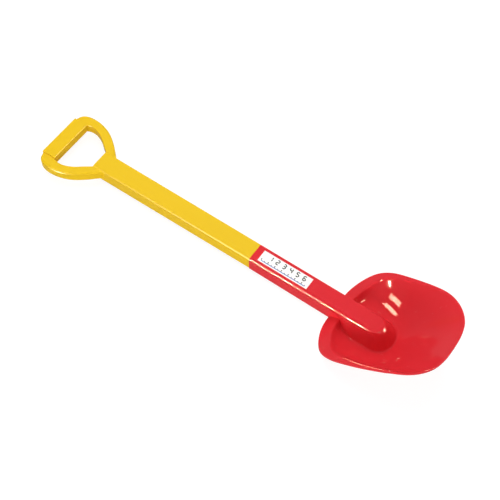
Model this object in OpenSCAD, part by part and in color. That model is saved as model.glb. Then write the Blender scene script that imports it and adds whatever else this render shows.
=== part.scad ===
// Sand shovel with a D-shaped grip, a ribbed plastic handle and a dished plastic blade.
// X runs along the shaft towards the blade's tip, Z is up, and the belly of the blade rests on Z = 0.
// The shaft's flat top lies at Z = deck_z, and the shovel is alike on both sides of Y = 0.

/* [Overall] */
// Length from the back of the grip to the tip of the blade
overall_length = 600; // [560:5:660]
// Distance from the back of the grip to the seam between handle and blade
handle_length = 323; // [300:1:335]

/* [Shaft] */
// Width of shaft and neck at the seam
shaft_width = 27.2; // [24:0.2:30]
// How much wider the shaft is at the grip
grip_widening = 1.4; // [0:0.1:3]
// How much narrower the neck is at the blade
nose_narrowing = 0.8; // [0:0.1:2]
// Depth of the shaft from its flat top to its open back
shaft_depth = 21; // [19:0.2:24]
// Radius of the long top edges
edge_radius = 2.4; // [1.8:0.1:4]
// Wall of the handle moulding
handle_wall = 2.6; // [2:0.1:3.4]
// Thickness of the ribs in the handle and in the neck
rib_wall = 1.8; // [1.4:0.1:2.4]
// Distance between the cross ribs in the back of the shaft
rib_pitch = 24; // [18:1:36]

/* [Grip] */
// Width of the D-shaped grip over its arms
grip_width = 99; // [88:1:112]
// Distance from the back of the grip to the end of the shaft
grip_reach = 71; // [66:1:84]
// Thickness of the grip's arms
arm_depth = 14; // [11:0.2:16]
// How far the shaft's top stands above the arms
arm_step = 1; // [0.6:0.1:2.5]
// Radius of the arms' outer top edge
arm_round = 3.6; // [3:0.1:5]
// Radius of the arms' inner edges
arm_inner_round = 1.6; // [1:0.1:2.4]
// Width of the bar that the hand holds, over its cover
bar_width = 21.3; // [18:0.1:25]
// How far the cover stands above the shaft's top
cover_rise = 0.5; // [0:0.1:2]
// Height of the cover's sides
cover_height = 12.6; // [10:0.1:14]
// Wall of the cover
cover_wall = 2; // [1.4:0.1:2.6]

/* [Joint] */
// Length of the handle's tongue inside the neck
tongue_length = 70; // [50:1:80]
// Clearance round the tongue and under the cover
fit_gap = 0.3; // [0.15:0.05:0.5]
// Width of the snap catch under the tongue
catch_width = 10; // [7:0.5:13]
// Length of the snap catch
catch_length = 12; // [8:0.5:16]

/* [Blade] */
// Length of the blade from its rear edge to its tip
blade_length = 156; // [140:1:175]
// Width of the blade
blade_width = 144; // [128:1:160]
// Wall of the blade, its neck and its nose
blade_wall = 2.6; // [2:0.1:3.2]
// Height of the tip above the shaft's top
tip_rise = 51; // [36:1:62]
// Depth of the blade's rear edge below the shaft's top
rear_drop = 22; // [18:0.5:23]
// Depth of the bowl's floor below the shaft's top
bowl_drop = 23.5; // [23:0.5:30]
// Width of the flat band of the rim behind the bowl
band_width = 14.5; // [10:0.5:18]
// Half width of the rounding between band and bowl
crease_round = 2.4; // [1:0.1:3]
// Height of the rim's outer edge at the back and the sides
lip_height = 3.4; // [2.6:0.1:5]

/* [Neck and nose] */
// Depth of the neck at the seam
neck_mouth_depth = 22.2; // [21:0.1:24]
// Depth of the neck at the blade
neck_root_depth = 25.2; // [24.2:0.1:26.5]
// Distance from the blade's rear edge to the centre of the nose's round end
nose_reach = 62; // [50:1:72]
// Width of the nose at the bowl's floor
nose_width = 46; // [40:0.5:52]
// Radius of the nose's top where it rolls down to the front
nose_roll = 9.5; // [5:0.5:11]
// Radius of the rounding round the nose's foot
foot_round = 2.4; // [1:0.1:3]

/* [Label] */
// Length of the stuck-on label
label_length = 73; // [50:1:90]
// Width of the label
label_width = 16.7; // [12:0.1:18]
// Thickness of the label
label_thickness = 0.3; // [0.2:0.05:0.5]
// Distance from the seam to the label
label_inset = 9.5; // [5:0.5:15]

/* [Hidden] */

// Overrun of every cut past the face that it opens
over = 1;
// Facets of a full circle on the exact round forms
round_fn = 48;
// Facets of a full circle inside a hull
hull_fn = 32;

// Heights
deck_z = max(bowl_drop + blade_wall, neck_root_depth);

// Places along the shovel
back_x = -overall_length / 2;
tip_x = overall_length / 2;
seam_x = back_x + handle_length;
shaft_end_x = back_x + grip_reach;
rear_x = tip_x - blade_length;
nose_x = rear_x + nose_reach;
tongue_end_x = seam_x + tongue_length;
socket_end_x = tongue_end_x + fit_gap;
hollow_x = socket_end_x + blade_wall;

// Half widths
shaft_half = shaft_width / 2;
shaft_end_half = shaft_half + grip_widening / 2;
nose_half = shaft_half - nose_narrowing / 2;
grip_half = grip_width / 2;

// Back of the shaft
channel_start_x = shaft_end_x + handle_wall;
channel_end_x = seam_x - handle_wall;
channel_length = channel_end_x - channel_start_x;
channel_half = shaft_half - handle_wall;
channel_bays = round(channel_length / rib_pitch);
bay_length = channel_length / channel_bays;
rib_setback = 1.2;

// Arms of the grip: stations from the bar to the shaft. The outer edge is placed by shares of grip_reach and
// of the grip's half width beyond the shaft, the inner edge by shares of the hand opening and the same width.
bar_end_share = 0.565;
arm_outer_shares = [
    [0.020, bar_end_share], [0.045, 0.775], [0.137, 0.930], [0.300, 1.000], [0.520, 0.963],
    [0.753, 0.800], [0.973, 0.503], [1.178, 0.134], [1.315, -0.108]
];
arm_inner_shares = [
    [0.000, bar_end_share], [0.030, 0.582], [0.080, 0.600], [0.168, 0.611], [0.323, 0.585],
    [0.555, 0.446], [0.777, 0.219], [0.972, 0.026], [1.155, -0.180]
];
arm_top_z = -arm_step;
arm_bottom_z = arm_top_z - arm_depth;
arm_bottom_round = arm_inner_round;
arm_steps = 4;
corner_steps = 5;
bar_end_y = shaft_half + bar_end_share * (grip_half - shaft_half);
hand_opening = grip_reach - bar_width;

// Bar under the cover
core_inset = cover_wall + fit_gap;
core_top_z = cover_rise - core_inset;
core_bottom_z = cover_rise - cover_height - handle_wall / 2;
cover_radius = cover_wall * 0.85;

// Tongue of the handle inside the neck
socket_half = nose_half - blade_wall;
tongue_half = socket_half - fit_gap;
tongue_top_z = -blade_wall - fit_gap;
tongue_bottom_z = -neck_mouth_depth + blade_wall + fit_gap;
tongue_wall = handle_wall;
tongue_ribs = 3;
catch_drop = fit_gap + blade_wall * 0.8;
catch_x = seam_x + tongue_length / 2;

// Outline of the blade, from the middle of its rear edge to the tip: shares of its length and half width
outline_shares = [
    [0.000, 0.000], [0.003, 0.390], [0.052, 0.700], [0.130, 0.912], [0.240, 0.996], [0.380, 0.993],
    [0.550, 0.955], [0.710, 0.892], [0.820, 0.800], [0.905, 0.662], [0.965, 0.480], [0.994, 0.250],
    [1.000, 0.000]
];
outline_steps = 4;
// Height of the rim: shares of the blade's length and of the way from the rear edge up to the tip
rim_shares = [[0, 0], [0.20, 0.28], [0.45, 0.575], [0.70, 0.862], [0.85, 0.955], [1, 1]];
rim_steps = 5;
wall_rings = 8;
// Steps across the rounding between band and bowl
crease_steps = 3;
// Rounding round the nose's foot: shares of its radius, away from the foot and up, the first one inside the nose
foot_shares = [[-1.70, 2.00], [0.00, 0.45], [0.35, 0.18], [0.70, 0.04], [1.10, 0.00]];
foot_reach_share = 1.10;
// Least room between the nose's foot and the bowl's edge, as a share of the band's width
foot_room_share = 0.55;
// Share of the band that the rounding may take, and share of the blade's length where the high lip ends
crease_band_share = 0.6;
lip_end_share = 0.68;
// Most that the shell thickens straight down where it is steep
steep_limit_share = 1.7;
// Steepness of the bowl's wall behind, beside and before the nose
rear_wall_share = 3.2;
side_wall_share = 2.2;
front_wall_share = 1.15;
// Shares of the blade's length where the flat band starts to narrow and where it has run out, the share of
// its width that is left there, and how fast it narrows
band_full_share = 0.06;
band_end_share = 0.85;
band_edge_share = 0.10;
band_fall_share = 1.7;

// Nose
nose_base_z = -bowl_drop;
nose_base_radius = nose_width / 2;
nose_flare_x = rear_x + nose_reach * 0.62;
nose_roll_x = nose_x - nose_roll * 0.7;
nose_start_x = rear_x + band_width;
nose_slope = (nose_base_radius - nose_half) / (bowl_drop - edge_radius);
neck_ribs = 4;
neck_rib_pitch = (nose_x - hollow_x) / neck_ribs;

// Smooth curve through a list of points: the point at share f between point i and point i + 1
function spline_point(p, i, f) =
    let (
        n = len(p),
        a = p[max(i - 1, 0)],
        b = p[i],
        c = p[min(i + 1, n - 1)],
        d = p[min(i + 2, n - 1)]
    )
    0.5 * (2 * b + (c - a) * f + (2 * a - 5 * b + 4 * c - d) * f ^ 2 + (3 * b - a - 3 * c + d) * f ^ 3);

function spline(p, steps) = concat(
    [for (i = [0 : len(p) - 2], k = [0 : steps - 1]) spline_point(p, i, k / steps)],
    [p[len(p) - 1]]
);

// Corner arc of a section, a quarter turn from angle a
function corner(y, z, r, a) = [
    for (k = [0 : corner_steps])
        let (turn = a + 90 * k / corner_steps)
        [y + r * cos(turn), z + r * sin(turn)]
];

// Closed solid through equal rings of points, with flat ends
module loft(rings) {
    n = len(rings[0]);
    m = len(rings);
    polyhedron(
        points = [for (ring = rings) each ring],
        faces = concat(
            [[for (j = [0 : n - 1]) j]],
            [for (i = [0 : m - 2], j = [0 : n - 1]) each let (
                a = i * n + j,
                b = i * n + (j + 1) % n
            ) [[a, a + n, b], [b, a + n, b + n]]],
            [[for (j = [n - 1 : -1 : 0]) (m - 1) * n + j]]
        )
    );
}

// Raises what is drawn with the shaft's top at Z = 0 to its place above the ground
module on_ground() {
    translate([0, 0, deck_z]) children();
}

// Box given by its lowest and highest corners
module block(low, high) {
    translate(low) cube(high - low);
}

// Section of shaft or neck at x: flat top with rounded edges, square below
function shaft_ring(x, half, depth) =
    let (
        inner = half - edge_radius,
        flat = concat(
            [[half, -depth]],
            corner(inner, -edge_radius, edge_radius, 0),
            corner(-inner, -edge_radius, edge_radius, 90),
            [[-half, -depth]]
        )
    )
    [for (q = flat) [x, q[0], q[1]]];

// Section of an arm between an inner and an outer point in plan
function arm_section(inner, outer) =
    let (
        w = norm(outer - inner),
        dir = (outer - inner) / w,
        flat = concat(
            corner(w - arm_round, arm_top_z - arm_round, arm_round, 0),
            corner(arm_inner_round, arm_top_z - arm_inner_round, arm_inner_round, 90),
            corner(arm_inner_round, arm_bottom_z + arm_inner_round, arm_inner_round, 180),
            corner(w - arm_bottom_round, arm_bottom_z + arm_bottom_round, arm_bottom_round, 270)
        )
    )
    [for (q = flat) [inner[0] + dir[0] * q[0], inner[1] + dir[1] * q[0], q[1]]];

function arm_y(share) = shaft_half + share * (grip_half - shaft_half);

module arm() {
    outer = spline([for (s = arm_outer_shares) [back_x + s[0] * grip_reach, arm_y(s[1])]], arm_steps);
    inner = spline(
        [for (s = arm_inner_shares) [back_x + bar_width + s[0] * hand_opening, arm_y(s[1])]],
        arm_steps
    );
    loft([for (i = [0 : len(outer) - 1]) arm_section(inner[i], outer[i])]);
}

// Ribs in the open back of the shaft: a cross rib between bays and a diagonal in each
module shaft_ribs() {
    depth = shaft_depth - rib_setback;
    translate([channel_start_x, 0, -depth]) linear_extrude(depth) {
        for (i = [1 : channel_bays - 1])
            translate([i * bay_length - rib_wall / 2, -channel_half]) square([rib_wall, 2 * channel_half]);
        for (i = [0 : channel_bays - 1])
            translate([i * bay_length, 0]) diagonal(i % 2 == 0 ? 1 : -1);
    }
}

module diagonal(side) {
    half = rib_wall / 2;
    polygon([
        [0, side * (half - channel_half)], [0, side * -channel_half], [half, side * -channel_half],
        [bay_length, side * (channel_half - half)], [bay_length, side * channel_half],
        [bay_length - half, side * channel_half]
    ]);
}

// Bar between the arms that the cover snaps over
module bar_core() {
    block(
        [back_x + core_inset, -bar_end_y - handle_wall, core_bottom_z],
        [back_x + bar_width - core_inset, bar_end_y + handle_wall, core_top_z]
    );
}

// Ribbed tongue that fills the socket in the neck
module tongue() {
    start_x = seam_x - handle_wall;
    floor_top_z = tongue_bottom_z + tongue_wall;
    block([start_x, -tongue_half, tongue_top_z - tongue_wall], [tongue_end_x, tongue_half, tongue_top_z]);
    block([start_x, -tongue_half, tongue_bottom_z], [tongue_end_x, tongue_half, floor_top_z]);
    block([start_x, -tongue_wall / 2, tongue_bottom_z], [tongue_end_x, tongue_wall / 2, tongue_top_z]);
    for (i = [1 : tongue_ribs]) {
        x = seam_x + i * tongue_length / tongue_ribs;
        block([x - tongue_wall, -tongue_half, tongue_bottom_z], [x, tongue_half, tongue_top_z]);
    }
    snap_catch();
}

// Wedge that clicks into the window in the neck's underside
module snap_catch() {
    translate([0, catch_width / 2, 0]) rotate([90, 0, 0]) linear_extrude(catch_width) polygon([
        [catch_x - catch_length / 2, tongue_bottom_z + tongue_wall / 2],
        [catch_x - catch_length / 2, tongue_bottom_z - catch_drop],
        [catch_x, tongue_bottom_z - catch_drop],
        [catch_x + catch_length / 2, tongue_bottom_z],
        [catch_x + catch_length / 2, tongue_bottom_z + tongue_wall / 2]
    ]);
}

module handle() {
    color("gold") on_ground() {
        difference() {
            union() {
                loft([
                    shaft_ring(shaft_end_x, shaft_end_half, shaft_depth),
                    shaft_ring(seam_x, shaft_half, shaft_depth)
                ]);
                arm();
                mirror([0, 1, 0]) arm();
            }
            block(
                [channel_start_x, -channel_half, -shaft_depth - over],
                [channel_end_x, channel_half, -handle_wall]
            );
        }
        shaft_ribs();
        bar_core();
        tongue();
    }
}

// Channel-shaped cover over the bar, open below
module grip_cover() {
    end_y = bar_end_y - fit_gap;
    bottom_z = cover_rise - cover_height;
    color("gold") on_ground() difference() {
        translate([0, end_y, 0]) rotate([90, 0, 0]) linear_extrude(2 * end_y)
            cover_section(bottom_z);
        block(
            [back_x + cover_wall, -end_y - over, bottom_z - over],
            [back_x + bar_width - cover_wall, end_y + over, cover_rise - cover_wall]
        );
    }
}

// Outer section of the cover, across the bar
module cover_section(bottom_z) {
    translate([back_x, bottom_z]) square([bar_width, cover_height - cover_radius]);
    translate([back_x + cover_radius, bottom_z]) square([bar_width - 2 * cover_radius, cover_height]);
    for (x = [back_x + cover_radius, back_x + bar_width - cover_radius])
        translate([x, cover_rise - cover_radius]) circle(r = cover_radius, $fn = round_fn);
}

// Height of the rim over the shaft's top at a place along the blade
rim_line = spline(
    [for (s = rim_shares) [rear_x + s[0] * blade_length, s[1] * (tip_rise + rear_drop) - rear_drop]],
    rim_steps
);

function rim_z(x) = lookup(x, rim_line);

// Width of the rim's flat band at a place along the blade
function band_at(x) =
    let (
        u = (x - rear_x) / blade_length,
        left = min(max((band_end_share - u) / (band_end_share - band_full_share), 0), 1)
    )
    band_width * (band_edge_share + (1 - band_edge_share) * left ^ band_fall_share);

// Half of the outline in plan, then the whole loop
half_outline = spline(
    [for (s = outline_shares) [rear_x + s[0] * blade_length, s[1] * blade_width / 2]],
    outline_steps
);
half_count = len(half_outline);
outline = concat(
    half_outline,
    [for (i = [half_count - 2 : -1 : 1]) [half_outline[i][0], -half_outline[i][1]]]
);
loop_count = len(outline);

function inward(i) =
    let (
        a = outline[(i + loop_count - 1) % loop_count],
        b = outline[(i + 1) % loop_count],
        d = (b - a) / norm(b - a)
    )
    [d[1], -d[0]];

bowl_edge = [for (i = [0 : loop_count - 1]) outline[i] + inward(i) * band_at(outline[i][0])];
bowl_centre = [nose_x, 0];

// Distance from the bowl's centre to the nose's foot, towards a point of the bowl's edge
function foot_at(e) =
    let (
        way = e - bowl_centre,
        d = [way[0], abs(way[1])] / norm(way),
        bend = [nose_flare_x - nose_x, nose_base_radius],
        root = [nose_start_x - nose_x, nose_half],
        run = root - bend,
        side = d[1] > 0 ? nose_base_radius / d[1] : norm(way),
        flare = cross(bend, run) / cross(d, run)
    )
    d[0] >= 0 ? nose_base_radius : min(side, flare, norm(way) - foot_room_share * band_width);

// Steepness of the bowl's wall towards a point of its edge: rear, side and front values blended by direction
function wall_power(e) =
    let (c = (e - bowl_centre)[0] / norm(e - bowl_centre))
    c > 0
        ? side_wall_share + (front_wall_share - side_wall_share) * c ^ 1.5
        : side_wall_share + (rear_wall_share - side_wall_share) * (-c) ^ 1.5;

// Point of the bowl at a distance from its centre, towards a point of its edge
function bowl_point(e, distance) =
    let (
        way = e - bowl_centre,
        foot = foot_at(e),
        p = bowl_centre + way * distance / norm(way),
        t = max(distance - foot, 0) / (norm(way) - foot)
    )
    [p[0], p[1], (rim_z(e[0]) + bowl_drop) * t ^ wall_power(e) - bowl_drop];

function between(a, b, share) = a + (b - a) * share;

function rim_point(p) = [p[0], p[1], rim_z(p[0])];

// Half width of the rounding between band and bowl at place i
function crease_at(i) = min(crease_round, crease_band_share * norm(outline[i] - bowl_edge[i]));

// Bowl without its roundings, which the underside follows: rings from the nose's foot out, then the rim
plain_rings = concat(
    [for (k = [0 : wall_rings]) [
        for (e = bowl_edge) bowl_point(e, between(foot_at(e), norm(e - bowl_centre), k / wall_rings))
    ]],
    [[for (p = outline) rim_point(p)]]
);

foot_rings = [
    for (q = foot_shares) [
        for (e = bowl_edge) bowl_point(e, foot_at(e) + q[0] * foot_round) + [0, 0, q[1] * foot_round]
    ]
];

side_rings = [
    for (k = [1 : wall_rings]) [
        for (i = [0 : loop_count - 1])
            let (
                e = bowl_edge[i],
                start = foot_at(e) + foot_reach_share * foot_round,
                end = norm(e - bowl_centre) - crease_at(i)
            )
            bowl_point(e, between(start, end, k / wall_rings))
    ]
];

// Rounding over the bowl's edge, from its wall to the band
function crease_point(i, share) =
    let (
        e = bowl_edge[i],
        wall = bowl_point(e, norm(e - bowl_centre) - crease_at(i)),
        band = rim_point(between(e, outline[i], crease_at(i) / norm(outline[i] - e)))
    )
    wall * (1 - share) ^ 2 + rim_point(e) * 2 * share * (1 - share) + band * share ^ 2;

upper_rings = concat(
    foot_rings,
    side_rings,
    [for (k = [1 : crease_steps]) [for (i = [0 : loop_count - 1]) crease_point(i, k / crease_steps)]],
    [[for (p = outline) rim_point(p)]]
);

// Thickness of the shell straight down at ring k and place i: more where it is steep, so that its wall is even
function thickness_at(k, i) =
    let (run = plain_rings[k + 1][i] - plain_rings[max(k - 1, 0)][i])
    k == 0 ? blade_wall : blade_wall * min(norm(run) / norm([run[0], run[1]]), steep_limit_share);

// Height of the rim's outer edge at a place along the blade
function lip_at(x) = x < rear_x + lip_end_share * blade_length ? lip_height : blade_wall;

// Underside of the shell, from its rim in to the nose's foot
lower_rings = [
    for (k = [wall_rings : -1 : 0]) [
        for (i = [0 : loop_count - 1]) plain_rings[k][i] - [0, 0, thickness_at(k, i)]
    ]
];

// Dished shell of the blade with its flat rim
module dish() {
    rings = concat(
        [[for (p = outline) rim_point(p) - [0, 0, lip_at(p[0])]]],
        lower_rings,
        upper_rings
    );
    n = loop_count;
    m = len(rings);
    low = len(lower_rings) + 1;
    points = concat(
        [for (ring = rings) each ring],
        [[nose_x, 0, -bowl_drop - blade_wall], [nose_x, 0, foot_shares[0][1] * foot_round - bowl_drop]]
    );
    polyhedron(points = points, faces = concat(
        [for (i = [0 : low - 2], j = [0 : n - 1]) each band_faces(i * n, j, n)],
        [for (j = [0 : n - 1]) [(low - 1) * n + j, n * m, (low - 1) * n + (j + 1) % n]],
        [for (j = [0 : n - 1]) [low * n + (j + 1) % n, n * m + 1, low * n + j]],
        [for (i = [low : m - 2], j = [0 : n - 1]) each band_faces(i * n, j, n)],
        [for (j = [0 : n - 1]) each edge_faces(j, (m - 1) * n + j, (j + 1) % n, (m - 1) * n + (j + 1) % n)]
    ));
}

function band_faces(start, j, n) =
    let (
        a = start + j,
        b = start + (j + 1) % n
    )
    [[a, a + n, b], [b, a + n, b + n]];

function edge_faces(low_a, high_a, low_b, high_b) = [[low_a, low_b, high_a], [low_b, high_b, high_a]];

// Neck from the seam into the bowl, its underside falling towards the blade
module neck_outer() {
    loft([
        shaft_ring(seam_x, shaft_half, neck_mouth_depth),
        shaft_ring(rear_x, nose_half, neck_root_depth),
        shaft_ring(nose_start_x + over, nose_half, neck_root_depth)
    ]);
}

// One round end of the nose, its top edge rounded by bend, shrunk by a wall's thickness and let down by drop
module nose_end(x, bend, inset, drop) {
    base_r = nose_base_radius - inset + nose_slope * drop;
    bend_r = bend - inset / 2;
    translate([x, 0, 0]) {
        translate([0, 0, nose_base_z - drop]) cylinder(r = base_r, h = over / 2, $fn = hull_fn);
        translate([0, 0, -inset - bend_r]) rotate_extrude($fn = hull_fn)
            translate([nose_half - bend - inset / 2, 0]) intersection() {
                circle(r = bend_r, $fn = hull_fn / 2);
                square(bend_r);
            }
    }
}

// Thin slice of the neck's section where the nose starts
module nose_root(inset, drop) {
    half = nose_half - inset;
    bend = max(edge_radius - inset, over / 4);
    translate([nose_start_x, 0, 0]) {
        block([0, -half, nose_base_z - drop], [over / 2, half, -inset - bend]);
        for (side = [-1, 1]) translate([0, side * (half - bend), -inset - bend])
            rotate([0, 90, 0]) cylinder(r = bend, h = over / 2, $fn = hull_fn / 2);
    }
}

// Solid form of the nose, or of its hollow when an inset is given
module nose_form(inset, drop) {
    hull() {
        nose_root(inset, drop);
        nose_end(nose_flare_x, edge_radius, inset, drop);
    }
    hull() {
        nose_end(nose_flare_x, edge_radius, inset, drop);
        nose_end(nose_roll_x, edge_radius, inset, drop);
    }
    hull() {
        nose_end(nose_roll_x, edge_radius, inset, drop);
        nose_end(nose_x, nose_roll, inset, drop);
    }
}

// Hollow of neck and nose behind the socket, open below, with its cross ribs left standing
module neck_hollow() {
    reach_down = blade_wall + over;
    difference() {
        union() {
            block(
                [hollow_x, -socket_half, -bowl_drop - reach_down],
                [nose_start_x + over / 2, socket_half, -blade_wall]
            );
            nose_form(blade_wall, reach_down);
        }
        for (i = [1 : neck_ribs - 1]) translate([hollow_x + i * neck_rib_pitch - rib_wall / 2, 0, 0])
            block([0, -nose_width, -bowl_drop + rib_setback], [rib_wall, nose_width, over]);
    }
}

// Socket for the handle's tongue, with the window for its catch
module socket() {
    window_half = catch_width / 2 + fit_gap;
    block(
        [seam_x - over, -socket_half, -neck_mouth_depth + blade_wall],
        [socket_end_x, socket_half, -blade_wall]
    );
    block(
        [catch_x - catch_length / 2 - fit_gap, -window_half, -neck_root_depth - over],
        [catch_x + catch_length / 2 + fit_gap, window_half, -neck_mouth_depth + blade_wall + over]
    );
}

module blade() {
    color("crimson") on_ground() difference() {
        union() {
            dish();
            neck_outer();
            nose_form(0, 0);
        }
        socket();
        neck_hollow();
    }
}

module label() {
    start_x = seam_x + label_inset;
    color("white") on_ground() block(
        [start_x, -label_width / 2, 0],
        [start_x + label_length, label_width / 2, label_thickness]
    );
}

handle();
grip_cover();
blade();
label();
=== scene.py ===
import math

import bpy
import bmesh
from mathutils import Matrix, Vector


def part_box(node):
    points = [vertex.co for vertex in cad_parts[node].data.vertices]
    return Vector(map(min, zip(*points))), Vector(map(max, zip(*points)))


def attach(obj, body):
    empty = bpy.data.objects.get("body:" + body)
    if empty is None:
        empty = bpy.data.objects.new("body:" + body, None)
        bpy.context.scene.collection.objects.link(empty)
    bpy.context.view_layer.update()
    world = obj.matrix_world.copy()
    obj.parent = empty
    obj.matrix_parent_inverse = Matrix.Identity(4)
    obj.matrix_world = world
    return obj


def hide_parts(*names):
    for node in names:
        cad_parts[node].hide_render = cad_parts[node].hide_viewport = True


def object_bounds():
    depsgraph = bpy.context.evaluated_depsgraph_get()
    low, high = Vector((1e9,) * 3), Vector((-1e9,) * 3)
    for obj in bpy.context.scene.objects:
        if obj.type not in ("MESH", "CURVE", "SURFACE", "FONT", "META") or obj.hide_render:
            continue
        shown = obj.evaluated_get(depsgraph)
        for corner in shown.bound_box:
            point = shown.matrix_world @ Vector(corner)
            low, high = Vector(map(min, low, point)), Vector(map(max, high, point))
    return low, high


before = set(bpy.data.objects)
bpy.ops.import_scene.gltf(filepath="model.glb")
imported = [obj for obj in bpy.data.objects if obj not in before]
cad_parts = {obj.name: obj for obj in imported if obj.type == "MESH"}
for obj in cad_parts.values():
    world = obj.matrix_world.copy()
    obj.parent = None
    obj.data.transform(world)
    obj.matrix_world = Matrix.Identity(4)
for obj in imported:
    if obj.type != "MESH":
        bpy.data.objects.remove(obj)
cad_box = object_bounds()
MM = 0.001


# Shader maths
class Socket:
    """A shader socket that takes part in Python expressions."""

    def __init__(self, tree, link):
        self.tree = tree
        self.link = link

    def _math(self, operation, *values):
        return Shader(self.tree).node("ShaderNodeMath", {"operation": operation}, values)

    def __add__(self, other):
        return self._math("ADD", self, other)

    __radd__ = __add__

    def __mul__(self, other):
        return self._math("MULTIPLY", self, other)

    __rmul__ = __mul__

    def __sub__(self, other):
        return self._math("SUBTRACT", self, other)

    def __rsub__(self, other):
        return self._math("SUBTRACT", other, self)

    def most(self, other):
        return self._math("MAXIMUM", self, other)


class Shader:
    """Adds nodes to one material's tree."""

    def __init__(self, tree):
        self.tree = tree

    def node(self, kind, settings, values, output=0):
        n = self.tree.nodes.new(kind)
        for name, value in settings.items():
            setattr(n, name, value)
        pairs = values.items() if isinstance(values, dict) else enumerate(values)
        for key, value in pairs:
            if isinstance(value, Socket):
                self.tree.links.new(value.link, n.inputs[key])
            else:
                n.inputs[key].default_value = value
        return Socket(self.tree, n.outputs[output]) if n.outputs else None

    def place(self, stretch):
        where = self.node("ShaderNodeTexCoord", {}, {}, "Object")
        return self.node("ShaderNodeVectorMath", {"operation": "MULTIPLY"}, [where, stretch])

    def noise(self, scale, detail=2.0, rough=0.5, stretch=(1, 1, 1)):
        return self.node(
            "ShaderNodeTexNoise", {},
            {"Vector": self.place(stretch), "Scale": scale, "Detail": detail, "Roughness": rough},
            "Fac",
        )

    def mix(self, share, a, b):
        return self.node("ShaderNodeMix", {"data_type": "RGBA"}, {0: share, 6: a, 7: b}, 2)

    def between(self, value, low, high):
        """0 up to low, 1 from high on."""
        return self.node(
            "ShaderNodeMapRange", {"clamp": True},
            {"Value": value, "From Min": low, "From Max": high}, "Result",
        )


def new_material(name):
    material = bpy.data.materials.new(name)
    material.use_nodes = True
    material.node_tree.nodes.clear()
    return material, Shader(material.node_tree)


# Moulded plastic. A noise is given by its waves to the metre, its detail, how rough it is and
# its stretch along the shovel, across it and up
FLOW_MARKS = (16.0, 3.0, 0.55, (0.4, 1.0, 1.0))
FLOW_SHARE = 0.7
CLOUDS = (120.0, 2.0)
CLOUD_SHARE = 0.3
CLOUD_ROUGHNESS = 0.06
SCUFFS = (75.0, 7.0, 0.78, (1.0, 2.2, 1.0))
SCUFFS_START, SCUFFS_FULL = 0.60, 0.72
SCUFF_COLOR = (0.9, 0.8, 0.7, 1)
SCUFF_SHARE = 0.05
SCUFF_ROUGHNESS = 0.10
FINE_SKIN = (1400.0, 2.0, 0.5)
SKIN_SHARE = 0.04
SOFT_WAVES = (30.0, 1.0, 0.4)
PLASTIC_IOR = 1.5


def plastic(name, light, deep, rough, shine, wave_depth):
    """Moulded plastic: flow marks in the colour, a fine skin, and light scuffs from handling."""
    material, s = new_material(name)
    flow = s.noise(*FLOW_MARKS)
    cloud = s.noise(*CLOUDS)
    scuff = s.between(s.noise(*SCUFFS), SCUFFS_START, SCUFFS_FULL)
    color = s.mix(flow * FLOW_SHARE + cloud * CLOUD_SHARE, light, deep)
    worn = s.mix(scuff * SCUFF_SHARE, color, SCUFF_COLOR)
    roughness = rough + (cloud - 0.5) * CLOUD_ROUGHNESS + scuff * SCUFF_ROUGHNESS
    skin = s.noise(*FINE_SKIN)
    wave = s.noise(*SOFT_WAVES)
    bump = s.node(
        "ShaderNodeBump", {},
        {"Strength": 1.0, "Distance": wave_depth, "Height": wave + skin * SKIN_SHARE},
        "Normal",
    )
    surface = s.node(
        "ShaderNodeBsdfPrincipled", {},
        {
            "Base Color": worn, "Roughness": roughness, "Normal": bump, "IOR": PLASTIC_IOR,
            "Specular IOR Level": shine,
        },
        "BSDF",
    )
    s.node("ShaderNodeOutputMaterial", {}, {"Surface": surface})
    return material


# Printing ink
INK_GRAIN = (700.0, 3.0)
INK_PALER = 1.6
INK_LIFT = 0.01
INK_SHARE = 0.5
INK_ROUGHNESS = 0.45
INK_ROUGHNESS_SPAN = 0.1
INK_SHINE = 0.3


def ink(name, color):
    """Printing ink: a little uneven where it lies on the film."""
    material, s = new_material(name)
    uneven = s.noise(*INK_GRAIN)
    paler = tuple(min(c * INK_PALER + INK_LIFT, 1) for c in color[:3]) + (1,)
    surface = s.node(
        "ShaderNodeBsdfPrincipled", {},
        {
            "Base Color": s.mix(uneven * INK_SHARE, color, paler),
            "Roughness": INK_ROUGHNESS + uneven * INK_ROUGHNESS_SPAN,
            "Specular IOR Level": INK_SHINE,
        },
        "BSDF",
    )
    s.node("ShaderNodeOutputMaterial", {}, {"Surface": surface})
    return material


YELLOW = plastic(
    "yellow_plastic", light=(0.86, 0.56, 0.012, 1), deep=(0.82, 0.52, 0.010, 1),
    rough=0.30, shine=0.07, wave_depth=0.00004,
)
RED = plastic(
    "red_plastic", light=(0.75, 0.028, 0.039, 1), deep=(0.70, 0.025, 0.033, 1),
    rough=0.06, shine=0.12, wave_depth=0.00002,
)
WHITE = plastic(
    "label_film", light=(0.96, 0.96, 0.94, 1), deep=(0.93, 0.93, 0.91, 1),
    rough=0.35, shine=0.25, wave_depth=0.00001,
)
BLACK = ink("scale_black", (0.006, 0.006, 0.008, 1))
BLUE = ink("scale_blue", (0.06, 0.16, 0.42, 1))

# Places on the shovel, in metres. The neck starts at the seam, and the label lies on its deck
LABEL_LOW, LABEL_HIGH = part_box("label")
DECK_Z = LABEL_LOW.z
SEAM_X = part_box("blade")[0].x
SEAM_HALF = 0.0136
SEAM_CORNER = 0.0024
NECK_HALF = 0.016
BLADE_REAR_X = 0.144
CREASE_START_X = 0.145
CREASE_END_X = 0.25
LIP_END_X = 0.262
NEAR = 0.00002
WELD = 0.000001

# Limits on the normals of an edge's two faces: how far one points up, and their dot product
LIP_TOP_UP = 0.5
LIP_SIDE_UP = 0.3
LIP_DOT = 0.4
BAND_UP = 0.25
CREASE_DOT = 0.94
REAL_EDGE_DOT = 0.5

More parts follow.
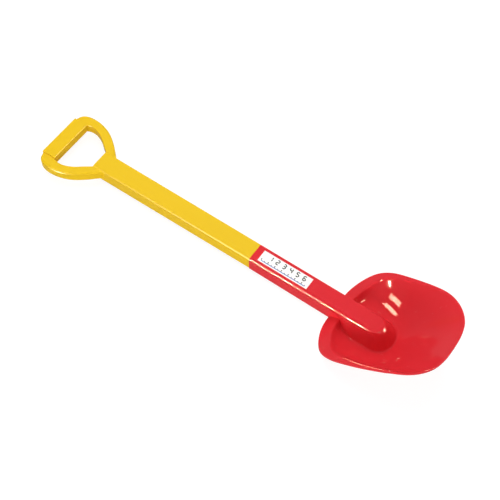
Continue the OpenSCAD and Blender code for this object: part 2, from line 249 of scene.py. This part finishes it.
# Edges that turn by more than this are shaded sharp
BLADE_SHARP_DEGREES = 34
HANDLE_SHARP_DEGREES = 30
COVER_SHARP_DEGREES = 34


# Pieces
def finish(mesh, material):
    mesh.materials.clear()
    mesh.materials.append(material)


def add_piece(name, mesh):
    piece = bpy.data.objects.new(name, mesh)
    bpy.context.scene.collection.objects.link(piece)
    return piece


def rim_edge(a, b, one, two):
    """The upper outer edge of the blade's rim, as far as its high lip goes."""
    top, side = (one, two) if one.z > two.z else (two, one)
    along = BLADE_REAR_X + NEAR < min(a.x, b.x) and max(a.x, b.x) < LIP_END_X
    square = top.z > LIP_TOP_UP and abs(side.z) < LIP_SIDE_UP
    return along and square and top.dot(side) < LIP_DOT


def bowl_crease(a, b, one, two):
    """The edge where the flat band turns down into the bowl."""
    along = CREASE_START_X < min(a.x, b.x) and max(a.x, b.x) < CREASE_END_X
    off_neck = min(abs(a.y), abs(b.y)) > NECK_HALF
    faces_up = min(one.z, two.z) > BAND_UP
    return along and off_neck and faces_up and one.dot(two) < CREASE_DOT


def seam_edge(a, b, one, two):
    """The outer edge of either end face at the seam between handle and neck."""
    at_seam = abs(a.x - SEAM_X) < NEAR and abs(b.x - SEAM_X) < NEAR
    at_side = min(abs(a.y), abs(b.y)) > SEAM_HALF - NEAR
    at_top = min(a.z, b.z) > DECK_Z - SEAM_CORNER - NEAR
    return at_seam and (at_side or at_top) and one.dot(two) < REAL_EDGE_DOT


def cover_edge(a, b, one, two):
    """Any real edge of the cover."""
    return one.dot(two) < REAL_EDGE_DOT


# Which edges are rounded, how far back in metres, and in how many steps
RIM_ROUNDING = (rim_edge, 0.0016, 4)
CREASE_ROUNDING = (bowl_crease, 0.0006, 3)
SEAM_ROUNDING = (seam_edge, 0.0004, 2)
COVER_ROUNDING = (cover_edge, 0.0003, 2)


def round_edges(shape, wanted, width, steps):
    """Rounds the convex edges that wanted() picks by their two ends and their two face normals."""
    edges = [
        e for e in shape.edges
        if len(e.link_faces) == 2 and e.is_convex and wanted(
            e.verts[0].co, e.verts[1].co, e.link_faces[0].normal, e.link_faces[1].normal
        )
    ]
    bmesh.ops.bevel(
        shape, geom=edges, offset=width, offset_type="OFFSET", segments=steps, profile=0.5,
        affect="EDGES", clamp_overlap=True,
    )


def fix_order(shape):
    """Sorts points by place, and edges and faces by their points. Rounding leaves it to chance."""
    for parts, place in (
        (shape.verts, lambda v: tuple(v.co)),
        (shape.edges, lambda e: sorted(v.index for v in e.verts)),
        (shape.faces, lambda f: sorted(v.index for v in f.verts)),
    ):
        for index, part in enumerate(sorted(parts, key=place)):
            part.index = index
        parts.sort()


def smoothed(node, material, sharp_degrees, roundings):
    """The CAD piece with its facets joined and shaded smooth, and its real edges kept sharp."""
    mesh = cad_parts[node].data.copy()
    mesh.name = node + "_surface"
    shape = bmesh.new()
    shape.from_mesh(mesh)
    bmesh.ops.remove_doubles(shape, verts=shape.verts, dist=WELD)
    for wanted, width, steps in roundings:
        shape.normal_update()
        round_edges(shape, wanted, width, steps)
    fix_order(shape)
    shape.normal_update()
    for face in shape.faces:
        face.smooth = True
    for edge in shape.edges:
        edge.smooth = edge.calc_face_angle(0) < math.radians(sharp_degrees)
    shape.to_mesh(mesh)
    shape.free()
    if "custom_normal" in mesh.attributes:
        mesh.attributes.remove(mesh.attributes["custom_normal"])
    finish(mesh, material)
    piece = add_piece(node + "_surface", mesh)
    piece.matrix_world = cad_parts[node].matrix_world
    weigh = piece.modifiers.new("flat faces stay flat", "WEIGHTED_NORMAL")
    weigh.mode = "FACE_AREA"
    weigh.keep_sharp = True
    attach(piece, "root")
    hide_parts(node)


smoothed(
    "blade", RED, BLADE_SHARP_DEGREES,
    (RIM_ROUNDING, CREASE_ROUNDING, SEAM_ROUNDING),
)
smoothed("handle", YELLOW, HANDLE_SHARP_DEGREES, (SEAM_ROUNDING,))
smoothed("grip_cover", YELLOW, COVER_SHARP_DEGREES, (COVER_ROUNDING,))
finish(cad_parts["label"].data, WHITE)

# The scale printed on the label, in metres
PRINT_HEIGHT = 0.00003
SCALE_INSET = 0.0035
LINE_INSET = 0.0022
TICK_EVERY = 0.005
TICK_WIDE = 0.0011
LONG_TICK = 0.0034
SHORT_TICK = 0.0020
DIGIT_HIGH = 0.0062
DIGIT_WIDE = 0.0036
DIGIT_RAISE_SHARE = 0.7
STROKE = 0.0014
STROKE_GAP = 0.00004
# Strokes of each digit: top, upper right, lower right, bottom, lower left, upper left, middle
DIGITS = {
    1: (1, 2),
    2: (0, 1, 6, 4, 3),
    3: (0, 1, 6, 2, 3),
    4: (5, 6, 1, 2),
    5: (0, 5, 6, 2, 3),
    6: (0, 5, 4, 3, 2, 6),
}


def stroke_ends(index):
    """Both ends of one digit stroke, from the digit's middle."""
    x, y = DIGIT_WIDE / 2, DIGIT_HIGH / 2
    return [
        ((-x, y), (x, y)), ((x, y), (x, 0)), ((x, 0), (x, -y)), ((-x, -y), (x, -y)),
        ((-x, 0), (-x, -y)), ((-x, y), (-x, 0)), ((-x, 0), (x, 0)),
    ][index]


def add_bar(shape, start, end, wide):
    """A flat printed bar with pointed ends between two points of the label."""
    along = (Vector(end) - Vector(start)).normalized()
    a, b = Vector(start) + along * STROKE_GAP, Vector(end) - along * STROKE_GAP
    side = Vector((-along.y, along.x)) * wide / 2
    tip = along * wide / 2
    ring = [a + tip + side, a, a + tip - side, b - tip - side, b, b - tip + side]
    low = [shape.verts.new((p.x, p.y, LABEL_HIGH.z)) for p in ring]
    high = [shape.verts.new((p.x, p.y, LABEL_HIGH.z + PRINT_HEIGHT)) for p in ring]
    shape.faces.new(list(reversed(low)))
    shape.faces.new(high)
    for i in range(len(ring)):
        j = (i + 1) % len(ring)
        shape.faces.new([low[i], low[j], high[j], high[i]])


def printed(name, bars, material):
    """A piece of print, made of bars that are given by both ends and a width."""
    mesh = bpy.data.meshes.new(name)
    shape = bmesh.new()
    for start, end, wide in bars:
        add_bar(shape, start, end, wide)
    bmesh.ops.recalc_face_normals(shape, faces=shape.faces)
    shape.to_mesh(mesh)
    shape.free()
    finish(mesh, material)
    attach(add_piece(name, mesh), "root")


ticks = []
digits = []
first_x = LABEL_LOW.x + SCALE_INSET
last_x = LABEL_HIGH.x - SCALE_INSET
base_y = LABEL_LOW.y + LINE_INSET
tick_count = int((last_x - first_x) / TICK_EVERY)
for i in range(tick_count + 1):
    x = first_x + i * TICK_EVERY
    high = LONG_TICK if i % 2 == 0 else SHORT_TICK
    ticks.append(((x, base_y + TICK_WIDE / 2), (x, base_y + high), TICK_WIDE))
    number = i // 2
    if i % 2 == 0 and number in DIGITS:
        middle = Vector((x, base_y + LONG_TICK + STROKE + DIGIT_HIGH * DIGIT_RAISE_SHARE))
        for index in DIGITS[number]:
            start, end = stroke_ends(index)
            digits.append((middle + Vector(start), middle + Vector(end), STROKE))
printed("label_ticks", ticks, BLACK)
printed("label_numbers", digits, BLACK)
printed("label_base_line", [((first_x, base_y), (last_x, base_y), TICK_WIDE)], BLUE)

# Floor and room
FLOOR_GAP = 0.0005
FLOOR_Z = cad_box[0].z - FLOOR_GAP
FLOOR_HALF = 4.0
FLOOR_GLOW = 0.88
FLOOR_SHADE = (0.22, 0.22, 0.22, 1)
FLOOR_BOUNCE = (0.8, 0.8, 0.8, 1)
FLOOR_SHINE_SHARE = 0.3
ROOM_LIGHT = 0.46
ROOM_SHINE_SHARE = 0.25


def seen(s, shine_share):
    """1 to the camera and through glass, shine_share in reflections, 0 for light that bounces."""
    camera, glossy, glass = (
        s.node("ShaderNodeLightPath", {}, {}, way)
        for way in ("Is Camera Ray", "Is Glossy Ray", "Is Transmission Ray")
    )
    return camera.most(glossy * shine_share).most(glass)


def floor_white():
    """White to the camera, less so in reflections, and darker in the object's shadow. Light that
    bounces meets plain pale paint."""
    material, s = new_material("floor_white")
    bounce = s.node("ShaderNodeBsdfDiffuse", {}, {"Color": FLOOR_BOUNCE}, "BSDF")
    shade = s.node("ShaderNodeBsdfDiffuse", {}, {"Color": FLOOR_SHADE}, "BSDF")
    strength = seen(s, FLOOR_SHINE_SHARE) * FLOOR_GLOW
    glow = s.node(
        "ShaderNodeEmission", {}, {"Color": (1, 1, 1, 1), "Strength": strength}, "Emission"
    )
    both = s.node("ShaderNodeAddShader", {}, [shade, glow], "Shader")
    surface = s.node("ShaderNodeMixShader", {}, [seen(s, 1), bounce, both], "Shader")
    s.node("ShaderNodeOutputMaterial", {}, {"Surface": surface})
    return material


floor_mesh = bpy.data.meshes.new("floor")
floor_mesh.from_pydata(
    [
        (-FLOOR_HALF, -FLOOR_HALF, FLOOR_Z), (FLOOR_HALF, -FLOOR_HALF, FLOOR_Z),
        (FLOOR_HALF, FLOOR_HALF, FLOOR_Z), (-FLOOR_HALF, FLOOR_HALF, FLOOR_Z),
    ],
    [], [(0, 1, 2, 3)],
)
finish(floor_mesh, floor_white())
add_piece("floor", floor_mesh)

room = bpy.data.worlds.new("soft_room")
room.use_nodes = True
room.node_tree.nodes.clear()
r = Shader(room.node_tree)
backdrop = r.node(
    "ShaderNodeBackground", {},
    {
        "Color": (1, 1, 1, 1),
        "Strength": seen(r, ROOM_SHINE_SHARE) * (1 - ROOM_LIGHT) + ROOM_LIGHT,
    },
    "Background",
)
r.node("ShaderNodeOutputWorld", {}, {"Surface": backdrop})
bpy.context.scene.world = room

# Lamps. Fills light the surfaces and don't show in them, and windows only show in the shine.
# Each has an azimuth and an elevation from the aim in degrees, a size in metres and a power
AIM = Vector((0.10, 0.0, 0.03))
FILL_DISTANCE = 1.6
FILL_COLOR = (1, 1, 1)
WINDOW_DISTANCE = 4.0
WINDOW_COLOR = (1.0, 0.78, 0.53)
FILLS = {
    "top_fill": (130, 62, (1.2, 1.2), 16.5),
    "side_fill": (-70, 18, (1.2, 0.8), 12),
}
WINDOWS = {
    "edge_window": (-102.5, 6.5, (0.74, 0.48), 2400),
    "low_window": (-117, 21.5, (0.36, 0.88), 79),
    "high_window": (-127, 55, (0.74, 1.05), 220),
    "front_window": (28, 30, (0.90, 1.60), 950),
    "right_window": (-20, 46, (0.36, 0.50), 55),
    "back_window": (131, 5, (0.50, 0.40), 60),
}


def softbox(name, azimuth, elevation, size, power, is_window):
    """A rectangular lamp that looks at the object."""
    a, e = math.radians(azimuth), math.radians(elevation)
    way = Vector((math.cos(a) * math.cos(e), math.sin(a) * math.cos(e), math.sin(e)))
    lamp = bpy.data.lights.new(name, "AREA")
    lamp.shape = "RECTANGLE"
    lamp.size, lamp.size_y = size
    lamp.energy = power
    lamp.color = WINDOW_COLOR if is_window else FILL_COLOR
    box = bpy.data.objects.new(name, lamp)
    box.location = AIM + way * (WINDOW_DISTANCE if is_window else FILL_DISTANCE)
    box.rotation_euler = way.to_track_quat("Z", "Y").to_euler()
    box.visible_camera = False
    box.visible_glossy = is_window
    box.visible_diffuse = not is_window
    bpy.context.scene.collection.objects.link(box)


for name, settings in FILLS.items():
    softbox(name, *settings, is_window=False)
for name, settings in WINDOWS.items():
    softbox(name, *settings, is_window=True)

# Camera, as fitted to the photograph: the fit's own length unit, its origin on the shovel, and
# where that origin lies from the camera to the right, up and back in those units
ELEVATION = math.radians(58.87)
TURN = math.radians(35.0)
FOCAL_PIXELS = 1050
FRAME_PIXELS = 500
SENSOR_WIDTH = 36
SHIFT_X, SHIFT_Y = -0.004, 0.005
FIT_UNIT = 0.952 * MM
FIT_ORIGIN = Vector((59.2, 0, 26.1)) * MM
FIT_RIGHT, FIT_UP, FIT_BACK = 35.1, -17.5, -1376.6

right = Vector((math.cos(TURN), math.sin(TURN), 0))
back = Vector((
    math.sin(TURN) * math.cos(ELEVATION),
    -math.cos(TURN) * math.cos(ELEVATION),
    math.sin(ELEVATION),
))
up = back.cross(right)
seat = FIT_ORIGIN - (right * FIT_RIGHT + up * FIT_UP + back * FIT_BACK) * FIT_UNIT
eye = bpy.data.cameras.new("camera")
eye.sensor_width = SENSOR_WIDTH
eye.lens = FOCAL_PIXELS / FRAME_PIXELS * SENSOR_WIDTH
eye.shift_x = SHIFT_X
eye.shift_y = SHIFT_Y
camera = bpy.data.objects.new("camera", eye)
camera.matrix_world = Matrix((
    (right.x, up.x, back.x, seat.x),
    (right.y, up.y, back.y, seat.y),
    (right.z, up.z, back.z, seat.z),
    (0, 0, 0, 1),
))
bpy.context.scene.collection.objects.link(camera)
bpy.context.scene.camera = camera

bpy.context.scene.view_settings.view_transform = "Standard"
